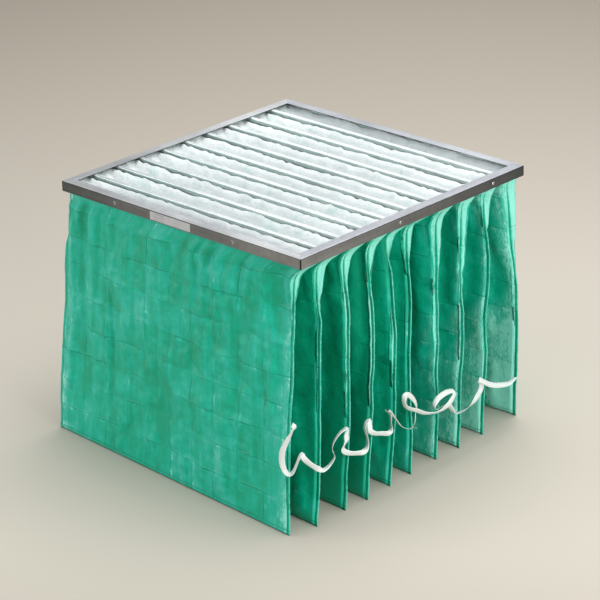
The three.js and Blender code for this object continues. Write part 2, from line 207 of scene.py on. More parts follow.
ahead = Vector((
    math.cos(CAMERA_PITCH) * math.cos(CAMERA_YAW),
    math.cos(CAMERA_PITCH) * math.sin(CAMERA_YAW),
    math.sin(CAMERA_PITCH),
))
level = ahead.cross(Vector((0, 0, 1))).normalized()
upright = level.cross(ahead)
across_view = math.cos(CAMERA_ROLL) * level + math.sin(CAMERA_ROLL) * upright
up_view = math.cos(CAMERA_ROLL) * upright - math.sin(CAMERA_ROLL) * level
eye = bpy.data.objects.new("studio_camera", bpy.data.cameras.new("studio_camera"))
turn = Matrix((across_view, up_view, -ahead)).transposed().to_4x4()
eye.matrix_world = Matrix.Translation(Vector((HEADER_X, 0, HEADER_TOP)) + CAMERA_OFFSET) @ turn
eye.data.lens = CAMERA_LENS
eye.data.sensor_width = CAMERA_SENSOR
eye.data.clip_end = CAMERA_REACH
bpy.context.collection.objects.link(eye)
bpy.context.scene.camera = eye


# Header rails: four channels of 1 mm galvanised steel sheet, folded, mitred at the corners and
# riveted. The zinc shows a fine spangle, faint drawing lines along each rail and small scuffs. The
# flanges carry painted light, weaker on the far rails, the webs painted shade that grades along each
# rail, the mitres read as thin dark joints and the folds as thin lines of painted shade.
def galvanised(name, tone, gloss, along, web_shading=None):
    zinc = Finish(name)
    place = zinc.place()
    drawn = zinc.noise(zinc.stretch(place, along), 120, 3)
    cloudy = zinc.noise(place, 9, 6)
    spangle = zinc.step("TexVoronoi", "Color", inputs={"Vector": place, "Scale": 130})
    shade = zinc.spread(spangle, 0, 1, 0.92, 1.06)
    shade = zinc.sum("MULTIPLY", shade, zinc.spread(cloudy, 0.25, 0.75, 0.78, 1.2))
    shade = zinc.sum("MULTIPLY", shade, zinc.spread(drawn, 0.25, 0.75, 0.86, 1.13))
    # Painted light on faces turned upwards, painted shade on the web, grading along the rail.
    if web_shading is not None:
        axis, start, start_tone, end_tone = web_shading
        x, y, z = zinc.parts(place)
        run = zinc.spread(x if axis == "X" else y, start, start + 2 * HALF_LENGTH)
        normal = zinc.step("NewGeometry", "Normal")
        upward = zinc.spread(zinc.parts(normal)[2], 0.35, 0.85)
        tone = zinc.mix(upward, zinc.mix(run, start_tone, end_tone), tone)
        if name.endswith("rail"):
            # Thin dark lines on the webs: the mitres are dark joints, the folds painted shade.
            from_end = zinc.sum("ABSOLUTE", zinc.sum("SUBTRACT", run, 0.5))
            mitre_share = MITRE_LINE / HALF_LENGTH
            mitre = zinc.spread(from_end, 0.5 - mitre_share, 0.5 - mitre_share / 2)
            fold = zinc.spread(z, HEADER_TOP - 1.3 * FOLD_LINE, HEADER_TOP - 0.7 * FOLD_LINE)
            mitre = zinc.sum("MULTIPLY", mitre, MITRE_DARK)
            fold = zinc.sum("MULTIPLY", fold, FOLD_SHADE)
            joint_and_fold_shade = zinc.sum("MAXIMUM", mitre, fold)
            joint_and_fold_shade = zinc.sum("MULTIPLY", joint_and_fold_shade, zinc.sum("SUBTRACT", 1.0, upward))
            shade = zinc.sum("MULTIPLY", shade, zinc.sum("SUBTRACT", 1.0, joint_and_fold_shade))
    colour = zinc.step("VectorMath", operation="SCALE", inputs={0: tone, "Scale": shade})
    return zinc.finish(
        Base_Color=colour, Metallic=0.85, Roughness=zinc.spread(drawn, 0, 1, gloss - 0.08, gloss + 0.12),
        Normal=zinc.relief(drawn, 0.15, 0.0004),
    )


def refinish(names, finish):
    """Gives CAD nodes a new material in place of their plain one."""
    for name in names:
        slots = node[name].data.materials
        slots.clear()
        slots.append(finish)


ALONG_X = (0.04, 1, 1)
ALONG_Y = (1, 0.04, 1)
MITRE_LINE = 0.0013
FOLD_LINE = 0.0018
MITRE_DARK = 0.9
FOLD_SHADE = 0.65
# Painted light for the flanges, weaker on the far rails; painted shade for the webs, deep to light.
FLANGE_LIGHT = (0.52, 0.535, 0.54)
FAR_FLANGE_LIGHT = (0.46, 0.475, 0.51)
DEEP_WEB_SHADE = (0.085, 0.09, 0.09)
LIGHT_WEB_SHADE = (0.27, 0.268, 0.262)
LEFT_END = HEADER_X - HALF_LENGTH
FRONT_WEB_SHADING = ("X", LEFT_END, DEEP_WEB_SHADE, LIGHT_WEB_SHADE)
RIGHT_WEB_SHADING = ("Y", -HALF_WIDTH, LIGHT_WEB_SHADE, DEEP_WEB_SHADE)
refinish(["front_rail"], galvanised("zinc_front_rail", FLANGE_LIGHT, 0.36, ALONG_X, FRONT_WEB_SHADING))
refinish(["left_rail"], galvanised("zinc_left_rail", FLANGE_LIGHT, 0.36, ALONG_Y, RIGHT_WEB_SHADING))
refinish(["back_rail"], galvanised("zinc_back_rail", FAR_FLANGE_LIGHT, 0.42, ALONG_X, FRONT_WEB_SHADING))
refinish(["right_rail"], galvanised("zinc_right_rail", FAR_FLANGE_LIGHT, 0.42, ALONG_Y, RIGHT_WEB_SHADING))

# Corner brackets: short angles of the same sheet, riveted or spot welded inside the rails' corners.
BRACKET_SHEET = (0.4, 0.42, 0.44)
bracket_zinc = galvanised("zinc_bracket", BRACKET_SHEET, 0.45, ALONG_X)
refinish([f"corner_bracket_{i}" for i in range(1, 5)], bracket_zinc)

# Bars and clips: channels of galvanised strip, clamped over the pocket walls. The bars cross the
# header's face, and the notched clips and edge bars lie under its flange. Their tops carry painted
# light, less on the edge bars and clips, and their legs painted shade that lightens to the right.
bars = [f"divider_bar_{i}" for i in range(1, 10)]
# Painted light on the tops, less on edge bars and clips under the flange; painted shade on the legs.
BAR_TOP_HIGHLIGHT = (0.78, 0.81, 0.81)
EDGE_BAR_TOP_SHADED = (0.7, 0.74, 0.74)
CLIP_TOP_SHADED = (0.6, 0.64, 0.64)
BAR_LEG_SHADE = ("X", LEFT_END, (0.36, 0.45, 0.43), (0.5, 0.57, 0.55))
edge_bars = ["edge_bar_front", "edge_bar_back"]
end_clips = ["end_clip_left", "end_clip_right"]
refinish(bars, galvanised("zinc_bar", BAR_TOP_HIGHLIGHT, 0.3, ALONG_X, BAR_LEG_SHADE))
refinish(edge_bars, galvanised("zinc_edge_bar", EDGE_BAR_TOP_SHADED, 0.3, ALONG_X, BAR_LEG_SHADE))
refinish(end_clips, galvanised("zinc_clip", CLIP_TOP_SHADED, 0.34, ALONG_Y, BAR_LEG_SHADE))


# Rivets: blind rivets of plain aluminium through the rails' webs and the strips behind them, each
# with a bright rim and the hole that its pulled stem leaves, darkened with painted shade.
RIVET_TONES = ((0.5, 0.5, 0.5), (0.68, 0.68, 0.68))
STEM_HOLE = (0.45, 0.62)
# Painted shade for the inside of the stem's hole.
HOLE_SHADE = (0.06, 0.06, 0.06)


def rivet_aluminium(name):
    low, high = (Vector(corner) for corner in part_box(name))
    middle, size = (low + high) / 2, high - low
    sideways = (1, 0, 1) if size.y < size.x else (0, 1, 1)
    metal = Finish("aluminium_" + name)
    place = metal.place()
    off = metal.step("VectorMath", operation="SUBTRACT", inputs={0: place, 1: middle})
    off = metal.step("VectorMath", operation="MULTIPLY", inputs={0: off, 1: sideways})
    spot = metal.step("VectorMath", "Value", operation="LENGTH", inputs={0: off})
    reach = max(size) / 2
    hole = metal.spread(spot, STEM_HOLE[0] * reach, STEM_HOLE[1] * reach, 1, 0)
    worn = metal.mix(metal.noise(place, 900, 3), *RIVET_TONES)
    return metal.finish(
        Base_Color=metal.mix(hole, worn, HOLE_SHADE), Metallic=0.8, Roughness=0.38,
        Normal=metal.relief(hole, 0.8, 0.0008, sunk=True),
    )


for i in range(1, 9):
    refinish([f"rivet_{i}"], rivet_aluminium(f"rivet_{i}"))


# Label: a white paper sticker on the front rail. It carries only a few ruled grey dashes.
DASH_BLOCKS = ((0.08, 0.36, 0.6), (0.6, 0.74, 0.3))
PAPER_TONES = ((0.46, 0.46, 0.47), (0.56, 0.56, 0.57))
INK_TONE = (0.13, 0.13, 0.14)


def label_paper():
    low, high = (Vector(corner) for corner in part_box("rating_label"))
    paper = Finish("label_paper")
    place = paper.place()
    x, _, z = paper.parts(place)
    across = paper.spread(x, low.x, high.x)
    up = paper.spread(z, low.z, high.z)
    grain = paper.noise(place, 60, 4)
    dash = paper.sum("GREATER_THAN", paper.sum("PINGPONG", across, 0.021), 0.007)
    row = paper.sum("GREATER_THAN", paper.sum("PINGPONG", up, 0.16), 0.1)
    blocks = []
    for start, end, strength in DASH_BLOCKS:
        after, before = paper.sum("GREATER_THAN", across, start), paper.sum("LESS_THAN", across, end)
        blocks.append(paper.sum("MULTIPLY", paper.sum("MULTIPLY", after, before), strength))
    inked = paper.sum("MULTIPLY", paper.sum("MULTIPLY", dash, row), paper.sum("MAXIMUM", *blocks))
    bare = paper.mix(grain, *PAPER_TONES)
    return paper.finish(Base_Color=paper.mix(inked, bare, INK_TONE), Roughness=0.5)


refinish(["rating_label"], label_paper())


# Pockets: each is one sheet of thin green spunbonded cloth, folded at the hem and sewn up both
# sides with the seam allowance left outside as a fin. Its mouth is a long rectangle clamped in the
# bars; below the rail the ends close in triangular folds, and the bag thins out to its hem.
POCKETS = 10
SKIN = 0.0007
FIN = 0.006
FIN_RIM = 0.0016
FOLD_TOP = 0.012
FOLD_START = 0.7

# How far below the rail each pocket's end folds close, and how wide the end stays open below them.
FOLD_DROPS = [0.115, 0.125, 0.10, 0.125, 0.09, 0.125, 0.19, 0.22, 0.10, 0.21]
OPEN_STRIPS = [0, 0.001, 0.0042, 0.003, 0.0026, 0, 0.005, 0.0042, 0, 0.003]

HEM_HALF = 0.0013
BULGE = 1.4
LEFT_SWING = 0.3
BOW = 0.005
CLAMP_INSET = 0.005
DEEPEST_DENT = 0.009
MOUTH_RIM = HEADER_TOP - 0.0026
POCKET_TOP = HEADER_BASE - 0.001
MOUTH_HALF_LENGTH = HALF_LENGTH - CLAMP_INSET
MOUTH_HALF_WIDTH = HALF_WIDTH - CLAMP_INSET
PITCH = 2 * MOUTH_HALF_WIDTH / POCKETS
MOUTH_HALF = PITCH / 2 - 0.0005
CLOTH_HALF = MOUTH_HALF_LENGTH + MOUTH_HALF + 0.0005

# The hems' shifts across the header, each pocket's shifts along it near the rail, half way down and
# at the hem, both in millimetres, and how much longer a bag grows on its way down, in half pitches.
SWINGS = [-56, -58, -38, -40, -31, -29, -11, -5, 9, 56]
LEANS = [
    (-27, -40, -44), (-26, -26, -30), (-20, -18, -34), (-14, -14, -31), (-24, -16, -37),
    (-30, -33, -40), (-14, -27, -45), (0, -20, -44), (2, -18, -48), (8, -14, -54),
]
LEAN_PLACES = (0.08, 0.54)
WIDTH_GAIN = [
    (0, 0), (0.05, -0.26), (0.17, -0.03), (0.32, 0.17), (0.54, 0.35), (0.76, 0.64), (1, 0.93),
]

FIN_GROWN = 0.17
LEAST_FIN = 0.0003
SWING_POWER = 1.1
STRIP_UNEVEN = 1.2
SLOW_WOBBLE = 0.006
QUICK_WOBBLE = 0.002


def curve_through(pairs, place):
    """A smooth curve through listed pairs of place and value."""
    last = len(pairs) - 1
    i = 0
    while i < last - 1 and place > pairs[i + 1][0]:
        i += 1
    (x0, y0), (x1, y1) = pairs[i], pairs[i + 1]
    before = pairs[max(i - 1, 0)]
    after = pairs[min(i + 2, last)]
    m0 = (y1 - before[1]) / (x1 - before[0])
    m1 = (after[1] - y0) / (after[0] - x0)
    width = x1 - x0
    t = (place - x0) / width
    return (
        (2 * t**3 - 3 * t**2 + 1) * y0 + (t**3 - 2 * t**2 + t) * width * m0
        + (3 * t**2 - 2 * t**3) * y1 + (t**3 - t**2) * width * m1
    )


def ramp(low, high, value):
    """Runs smoothly from 0 at low to 1 at high."""
    t = min(max((value - low) / (high - low), 0), 1)
    return t * t * (3 - 2 * t)


class Hang:
    """How one pocket hangs at one height: its section's sizes and where its middle lies."""

    def __init__(self, number, height):
        drop = min(max((POCKET_TOP - height) / POCKET_TOP, 0), 1)
        upper, middle, hem = (value / 1000 for value in LEANS[number])
        self.drop = drop
        self.down = max(POCKET_TOP - height, 0)
        self.below = ramp(-0.006, 0.012, POCKET_TOP - height)
        self.fin = FIN * min(drop / FIN_GROWN, 1) + LEAST_FIN
        gain = curve_through(WIDTH_GAIN, drop) * PITCH / 2
        self.half_length = MOUTH_HALF_LENGTH + gain - (self.fin if height < POCKET_TOP else LEAST_FIN)
        leans = [(0, 0), (LEAN_PLACES[0], upper), (LEAN_PLACES[1], middle), (1, hem)]
        lean = curve_through(leans, drop)
        self.lean = HEADER_X + lean
        self.half_width = HEM_HALF + (MOUTH_HALF - HEM_HALF) * (1 - drop**BULGE)
        gathered = 1 - (1 - FOLD_START) * ramp(-FOLD_TOP, 0, POCKET_TOP - height)
        self.open_share = gathered * max(1 - self.down / FOLD_DROPS[number], 0)
        strip = OPEN_STRIPS[number] * ramp(0.02, 0.14, drop) * ramp(0.7, 0.5, drop)
        strip *= 1 + STRIP_UNEVEN * noise.noise(Vector((number * 2.3, height * 11, 7.7)))
        self.end_half = HEM_HALF + max((MOUTH_HALF - HEM_HALF) * self.open_share, strip)
        self.swing = SWINGS[number] / 1000 * drop**SWING_POWER
        self.mouth = -MOUTH_HALF_WIDTH + (number + 0.5) * PITCH
        self.bow = BOW * math.sin(2.4 * number) * math.sin(math.pi * drop) ** 2
        slow = noise.noise(Vector((number * 3.7, height * 9, 1.3)))
        quick = noise.noise(Vector((number * 5.1, height * 26, 4.1)))
        away = ramp(0.08, 0.3, drop) * ramp(1.02, 0.85, drop)
        self.wobble = (SLOW_WOBBLE * slow + QUICK_WOBBLE * quick) * away

    def line(self, share):
        """The middle of the pocket across the header, at a share of its half length."""
        swing = self.swing * ((1 + LEFT_SWING) / 2 + (1 - LEFT_SWING) / 2 * share)
        near_seam = ramp(0.7, 1.0, abs(share))
        return self.mouth + swing + self.bow * math.cos(math.pi / 2 * share) + self.wobble * near_seam


def lens(at, share):
    """Half thickness of the bag at a share of its half length."""
    return at.end_half + (at.half_width - at.end_half) * (1 - abs(share) ** 3)


# The square net of creases that the cloth keeps from its packing, its softer half net, and the long
# folds that run down the first pocket: place, half width, height, and the stretch above the hem.
NET = 0.058
NET_SWAY = 0.16
NET_RIDGES = ((1, 0.0062), (2, 0.0026))
RIDGE_WIDTH = 0.006
FIELD_TILT = 0.0034
FOLD_SWAY = 0.012
FOLD_FADE = 0.05
LONG_FOLDS = [
    (-0.155, 0.006, -0.0065, 0.03, 0.35), (-0.272, 0.012, 0.0075, 0.06, 0.48),
    (-0.238, 0.010, -0.005, 0.12, 0.47), (-0.205, 0.007, 0.003, 0.2, 0.49),
    (0.226, 0.006, -0.005, 0.03, 0.19), (0.252, 0.007, 0.0045, 0.16, 0.4),
    (0.196, 0.008, -0.003, 0.27, 0.46), (-0.02, 0.006, -0.003, 0.05, 0.25),
]


def net_place(a, b, seed):
    """Where a point of the cloth lies in the net, in pitches."""
    sway = noise.noise(Vector((a * 6, b * 5, seed + 0.5)))
    tilt = noise.noise(Vector((a * 5, b * 6, seed + 9.5)))
    return a / NET + NET_SWAY * sway, b / NET + NET_SWAY * tilt


def net_relief(u, v, seed):
    """Sharp ridges and valleys on the lines of the net, and fields that tilt apart between them."""
    total = 0
    for across, along in ((u, v), (v, u)):
        for scale, height in NET_RIDGES:
            line = round(across * scale)
            off = abs(across * scale - line) * NET / scale
            where = Vector((line * 3.7 + seed, along * 0.8 * scale, seed * 1.3 + scale))
            total += height * noise.noise(where) * math.exp(-off / RIDGE_WIDTH)
    i, j = math.floor(u), math.floor(v)
    s, t = u - i, v - j
    knots = [
        noise.cell(Vector((i + p + 0.5, j + q + 0.5, seed + 0.25))) for q in (0, 1) for p in (0, 1)
    ]
    tilts = (knots[0] * (1 - s) + knots[1] * s) * (1 - t) + (knots[2] * (1 - s) + knots[3] * s) * t
    return total + FIELD_TILT * tilts


def long_folds(a, b):
    """How far the long folds stand out at a place across the cloth and above its hem."""
    total = 0
    for place, width, height, low, high in LONG_FOLDS:
        middle = place + FOLD_SWAY * noise.noise(Vector((place * 31, b * 9, 2.2)))
        off = abs(a - middle)
        if off < 4 * width:
            within = ramp(low, low + FOLD_FADE, b) * ramp(high, high - FOLD_FADE, b)
            total += height * math.exp(-off / width) * within
    return total


def crumple(a, b, seed, size):
    """Sharp-edged dents, as in thin cloth that was packed tight."""
    where = Vector((a / size, b / size, seed * 5.17))
    return noise.turbulence(where, 2, False, noise_basis="VORONOI_F2F1") + 0.35


# The cloth's other relief, each with its height in metres: broad bellies, vertical drapes that are
# stronger near the ends, folds that hang from the clamped rim, dents of two sizes with sharp edges,
# and a fine ripple along the side seams.
BELLY = 0.005
DRAPE = (0.004, 0.006)
HANG_FOLD = 0.011
HANG_FADE = 0.11
BIG_DENT = (0.0022, 0.085)
SMALL_DENT = (0.002, 0.034)
RIPPLE = 0.0018
RIPPLE_FADE = 0.024
QUIET_TOP = 0.03
WALL_SHARE = 0.42


def pocket_lift(number, at, a, b, share, side, u, v):
    """How far the cloth stands out of its smooth shape."""
    outer = (number == 0 and side < 0) or (number == POCKETS - 1 and side > 0)
    seed = number * 2 + (1 if side > 0 else 0)
    near_end = ramp(0.6, 0.97, abs(share))
    belly = noise.noise(Vector((a * 8 + seed * 3.3, b * 3, seed * 1.7)))
    drape = noise.noise(Vector((a * 26, b * 3.4 + seed, seed * 1.9)))
    hang_folds = noise.noise(Vector((a * 44, b * 2.0, seed * 2.3))) * math.exp(-at.down / HANG_FADE)
    to_seam = max(CLOTH_HALF - abs(a), 0)
    ripple = math.sin(b * 240 + 7 * noise.noise(Vector((b * 14, a * 4, seed))))
    ripple *= RIPPLE * math.exp(-to_seam / RIPPLE_FADE)
    quiet = ramp(0.0, QUIET_TOP, at.down) * (1 - 0.7 * ramp(0.93, 1.0, at.drop))
    broad = BELLY * belly + (DRAPE[0] + DRAPE[1] * near_end) * drape + HANG_FOLD * hang_folds
    dents = BIG_DENT[0] * crumple(a, b, seed, BIG_DENT[1])
    dents += SMALL_DENT[0] * crumple(a, b, seed + 40, SMALL_DENT[1])
    lift = quiet * (broad + net_relief(u, v, seed) + dents + ripple)
    if number == 0 and side < 0:
        lift += quiet * long_folds(a, abs(b))
    if not outer:
        gap = 2 * (MOUTH_HALF - HEM_HALF) * at.drop**BULGE
        most = WALL_SHARE * gap + 0.0001
        lift = min(lift, most) if lift < 0.6 * most else most * math.tanh(lift / most)
    return max(lift, -DEEPEST_DENT)


# The cloth's colours run from deep green to pale green. The pale end stands partly for cloth lying
# on the fleece or doubled and partly for painted light, the deep end for painted shade in the
# valleys. How much each pattern counts is listed with it: the creases are painted shade, the
# glints painted highlights. Stitches run along the hem and the seams.
CLOTH_TONES = [
    (0.0, (0.0, 0.365, 0.205)), (0.26, (0.0, 0.44, 0.275)), (0.5, (0.012, 0.485, 0.34)),
    (0.74, (0.07, 0.54, 0.4)), (1.0, (0.26, 0.76, 0.63)),
]
TONE_STRETCH = (0.53, 0.9)
PATCH_SHARE = 0.36
STREAK_SHARE = 0.5
BLOTCH_SHARE = 0.28
FIELD_SHARE = 0.065
GLINT_SHARE = 0.13
CREASE_SHADE_SHARE = -0.1
TORN_SHARE = 2.4
SEAM_SHARE = -0.16
HEM_RIM_SHARE = 0.12
HEM_STITCH = (0.009, 0.0015)
SIDE_STITCH = (CLOTH_HALF + 0.0005, 0.0013)
STITCH_PITCH = 0.0016


def green_cloth():
    """Thin green spunbonded cloth over white fleece."""
    cloth = Finish("green_cloth")
    flat = cloth.step("UVMap", "UV")
    across, along, _ = cloth.parts(flat)
    net = cloth.step("Attribute", "Vector", attribute_name="net")
    net_across, net_along, _ = cloth.parts(net)
    tone_and_painted_light = cloth.step("Attribute", "Fac", attribute_name="tone_and_painted_light")

    def line_at(distance, place, width):
        off = cloth.sum("ABSOLUTE", cloth.sum("SUBTRACT", distance, place))
        return cloth.spread(off, 0.3 * width, width, 1, 0)

    from_middle = cloth.sum("ABSOLUTE", across)
    from_hem = cloth.sum("ABSOLUTE", along)
    stitch = cloth.sum("MAXIMUM", line_at(from_hem, *HEM_STITCH), line_at(from_middle, *SIDE_STITCH))
    thread = cloth.sum("PINGPONG", cloth.sum("ADD", across, along), STITCH_PITCH)
    seams = cloth.sum("MULTIPLY", stitch, cloth.spread(thread, 0.0002, 0.0009, 0.45, 1))
    hem_rim = cloth.spread(from_hem, 0.0008, 0.0022, 1, 0)

    streaks = cloth.noise(cloth.stretch(flat, (1, 0.16, 1)), 52, 5, 0.65, 0.3)
    patches = cloth.noise(flat, 11, 5, 0.6)
    blotches = cloth.noise(flat, 42, 4, 0.6, 0.6)
    field_number = cloth.step("VectorMath", operation="FLOOR", inputs={0: net})
    field = cloth.step("TexWhiteNoise", "Value", inputs={"Vector": field_number})
    kept = cloth.spread(cloth.noise(flat, 13, 2), 0.42, 0.6)

    def net_lines(width, shift=0.0):
        lines = None
        for place in (net_across, net_along):
            off = cloth.sum("PINGPONG", cloth.sum("ADD", place, shift), 0.5)
            line = cloth.spread(off, 0.25 * width, width, 1, 0)
            lines = line if lines is None else cloth.sum("MAXIMUM", lines, line)
        return cloth.sum("MULTIPLY", lines, kept)

    # The crease lines are darkened as painted shade; they also shape the relief.
    creases = net_lines(0.034)
    # Glints: painted highlights just beside the creases, where the blotches are light.
    glints = cloth.sum("MULTIPLY", net_lines(0.06, -0.07), cloth.spread(blotches, 0.5, 0.62))

    total = cloth.sum("MULTIPLY", patches, PATCH_SHARE)
    for pattern, amount in (
        (streaks, STREAK_SHARE), (blotches, BLOTCH_SHARE), (field, FIELD_SHARE),
        (glints, GLINT_SHARE), (creases, CREASE_SHADE_SHARE),
    ):
        total = cloth.sum("MULTIPLY_ADD", pattern, amount, total)
    # The per-vertex tone adds the fleece showing through and the painted light and shade set on the
    # pockets.
    total = cloth.sum("ADD", total, tone_and_painted_light)
    fuzz = cloth.noise(cloth.stretch(flat, (1, 0.25, 1)), 420, 4, 0.7)
    torn = cloth.sum("MULTIPLY", cloth.sum("SUBTRACT", fuzz, 0.5), cloth.sum("MAXIMUM", tone_and_painted_light, 0.05))
    for pattern, amount in ((torn, TORN_SHARE), (seams, SEAM_SHARE), (hem_rim, HEM_RIM_SHARE)):
        total = cloth.sum("MULTIPLY_ADD", pattern, amount, total)
    tone = cloth.step("ValToRGB", inputs={"Fac": cloth.spread(total, *TONE_STRETCH)})
    stops = tone.node.color_ramp.elements
    stops[0].color = (*CLOTH_TONES[0][1], 1)
    stops[1].color = (*CLOTH_TONES[-1][1], 1)
    for place, colour in CLOTH_TONES[1:-1]:
        stops.new(place).color = (*colour, 1)

    fine = cloth.relief(cloth.noise(flat, 600, 4, 0.6), 0.3, 0.0003)
    wrinkles = cloth.relief(cloth.noise(flat, 60, 5, 0.55, 0.8), 0.6, 0.0022, fine)
    folded = cloth.relief(creases, 0.8, 0.0012, wrinkles)
    sewn = cloth.relief(seams, 0.8, 0.001, folded, sunk=True)
    return cloth.finish(
        Base_Color=tone, Roughness=cloth.spread(blotches, 0.3, 0.7, 0.36, 0.6), Normal=sewn,
        Specular_IOR_Level=0.32,
    )


def cloth_grid(columns, length, rows):
    """A flat sheet of cloth with its columns at given places and its own UV map in metres."""
    sheet = bmesh.new()
    count = len(columns) - 1
    bmesh.ops.create_grid(
        sheet, x_segments=count, y_segments=rows, size=0.5,
        matrix=Matrix.Diagonal((1, length, 1, 1)),
    )
    for vert in sheet.verts:
        vert.co.x = columns[round((vert.co.x + 0.5) * count)]
    flat = sheet.loops.layers.uv.new("UVMap")
    for face in sheet.faces:
        for loop in face.loops:
            loop[flat].uv = (loop.vert.co.x, loop.vert.co.y)
    return sheet


def evenly(start, end, step):
    """Even places from start up to, but not with, the end."""
    count = max(round((end - start) / step), 1)
    return [start + (end - start) * i / count for i in range(count)]


# How pale the cloth is painted, for each pocket: painted shade on the walls between pockets, deepest
# on the near ones and lifting on the far ones; at the doubled ends cloth paler over the fleece with
# painted light added; painted light at the lower corners and a painted highlight on the fins' rims.
# An outer face and a fin have one value each for all pockets.
WALL_SHADING = [0, -0.1, -0.15, -0.14, -0.09, -0.05, 0.01, 0.07, 0.1, 0.13]
END_PALENESS_AND_LIGHT = [0.34, 0.32, 0.36, 0.36, 0.33, 0.33, 0.35, 0.35, 0.32, 0.36]
LOWER_CORNER_LIGHT = [0.04, 0.02, 0.0, 0.02, 0.04, 0.06, 0.1, 0.16, 0.2, 0.24]
OUTER_FACE = 0.06
FIN_RIM_HIGHLIGHT = 0.22
FIN_BODY = 0.02
SHADED_LEFT = 0.1
PALE_LIFT = 9
PLEAT_SHADING = 26
FIN_GAP = 0.0006
LEAST_BAG = 0.0017
PLEAT = 0.002
END_STEP = 0.0042


def hung_pocket(number, step, finish):
    length = 2 * MOUTH_RIM
    tip = CLOTH_HALF + FIN
    half = evenly(0, MOUTH_HALF_LENGTH, step) + evenly(MOUTH_HALF_LENGTH, CLOTH_HALF, END_STEP)
    half += [CLOTH_HALF, CLOTH_HALF + FIN / 2, tip - FIN_RIM, tip]
    rows = 2 * round(length / step / 2)
    sheet = cloth_grid([-place for place in reversed(half[1:])] + half, length, rows)
    tone_and_painted_light = sheet.verts.layers.float.new("tone_and_painted_light")
    net = sheet.verts.layers.float_vector.new("net")
    hangs = {}
    for vert in sheet.verts:
        a, b = vert.co.x, vert.co.y
        side = -1 if b < 0 else 1
        height = abs(b)
        key = round(height * 1e5)
        if key not in hangs:
            hangs[key] = Hang(number, height)
        at = hangs[key]
        sign = 1 if a >= 0 else -1
        u, v = net_place(a, b, number * 2.0 + side)
        vert[net] = (u, v, number * 2 + side)
        outer = (number == 0 and side < 0) or (number == POCKETS - 1 and side > 0)
        # Painted shade and light on the walls between pockets; the outer faces keep the cloth's own
        # tone.
        shade = OUTER_FACE if outer else WALL_SHADING[number]
        deep = 0.006 + 0.007 * noise.noise(Vector((number * 1.9, sign * 3.3, 0.4)))
        tuck = deep * math.sin(math.pi * at.open_share**0.8) * at.below
        if abs(a) > CLOTH_HALF:
            past = (abs(a) - CLOTH_HALF) / FIN
            x = at.lean + sign * (at.half_length + past * at.fin - tuck)
            y = at.line(sign) + side * FIN_GAP
            # A painted highlight on the fins' outer rims.
            vert[tone_and_painted_light] = FIN_RIM_HIGHLIGHT if past > 0.99 else FIN_BODY
        elif abs(a) > MOUTH_HALF_LENGTH:
            past = (abs(a) - MOUTH_HALF_LENGTH) / (CLOTH_HALF - MOUTH_HALF_LENGTH)
            lift = pocket_lift(number, at, a, b, sign, side, u, v) * (1 - past)
            uneven = noise.noise(Vector((number * 3.1, at.down * 12, side * sign * 2.0)))
            pleat = math.sin(past * 9 + 3 * uneven)
            pleat *= PLEAT * at.below * at.open_share * math.sin(math.pi * past)
            x = at.lean + sign * (at.half_length + 0.5 * lift + pleat - tuck * past)
            y = at.line(sign) + side * max(at.end_half * (1 - past), FIN_GAP)
            open_end = ramp(0.0012, 0.003, at.end_half)
            # The end walls carry painted light, less on their left side, and each pleat painted light or
            # shade by its slope.
            shaded = SHADED_LEFT * at.open_share if side < 0 else 0
            lit = END_PALENESS_AND_LIGHT[number] + PLEAT_SHADING * pleat - shaded
            vert[tone_and_painted_light] = FIN_BODY * (1 - open_end) + lit * open_end
        else:
            share = abs(a) / MOUTH_HALF_LENGTH
            lift = pocket_lift(number, at, a, b, sign * share, side, u, v)
            corner = at.half_length * (1 - share)
            lift *= 1 - 0.5 * ramp(0.02, 0.0, corner)
            x = at.lean + sign * share * at.half_length
            y = at.line(sign * share) + side * max(lens(at, share) + lift, LEAST_BAG)
            # Painted light on the lower corners, stronger on the far pockets.
            lower_corner_light = LOWER_CORNER_LIGHT[number] * ramp(0.12, 0.0, corner) * ramp(0.35, 0.8, at.drop)
            near_corner = 0.12 * ramp(0.03, 0.004, corner) * at.below
            vert[tone_and_painted_light] = shade + PALE_LIFT * lift + lower_corner_light + near_corner
        vert.co = (x, y, height)
    piece = new_piece(f"pocket_cloth_{number + 1}", sheet, finish)
    skin = piece.modifiers.new("cloth_thickness", "SOLIDIFY")
    skin.thickness = SKIN
    skin.offset = 0
    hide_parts(f"pocket_{number + 1}")
    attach(piece, "root")


# The first pocket's broad face is seen whole, so its mesh is finer.
FIRST_STEP = 0.0040
OTHER_STEP = 0.0075
cloth = green_cloth()
for number in range(POCKETS):
    hung_pocket(number, FIRST_STEP if number == 0 else OTHER_STEP, cloth)


# Linings: a sheet of fluffy white fleece inside each pocket. It comes up out of the bag under the
# bars, and its torn edge laps a few millimetres up over their sides.
LINING_STEP = 0.0095
LINING_INSET = 0.0048
LINING_FOOT = 0.03
LINING_SIDE = 0.014
LINING_END_STEP = 0.005
LINING_END = 0.01
LINING_TUCK = 0.014
LEAST_LINING = 0.0002
FLEECE_THICKNESS = 0.0014
EDGE_DROP = 0.0075
EDGE_RAGGED = 0.0035
END_PUFF = 0.0012
WALL_PUFF = 0.0022
FLEECE_TONES = ((0.7, 0.755, 0.76), (0.83, 0.87, 0.88))
THIN_TONE = (0.56, 0.71, 0.67)
FLUFF_SHADE = (0.4, 0.46, 0.46)


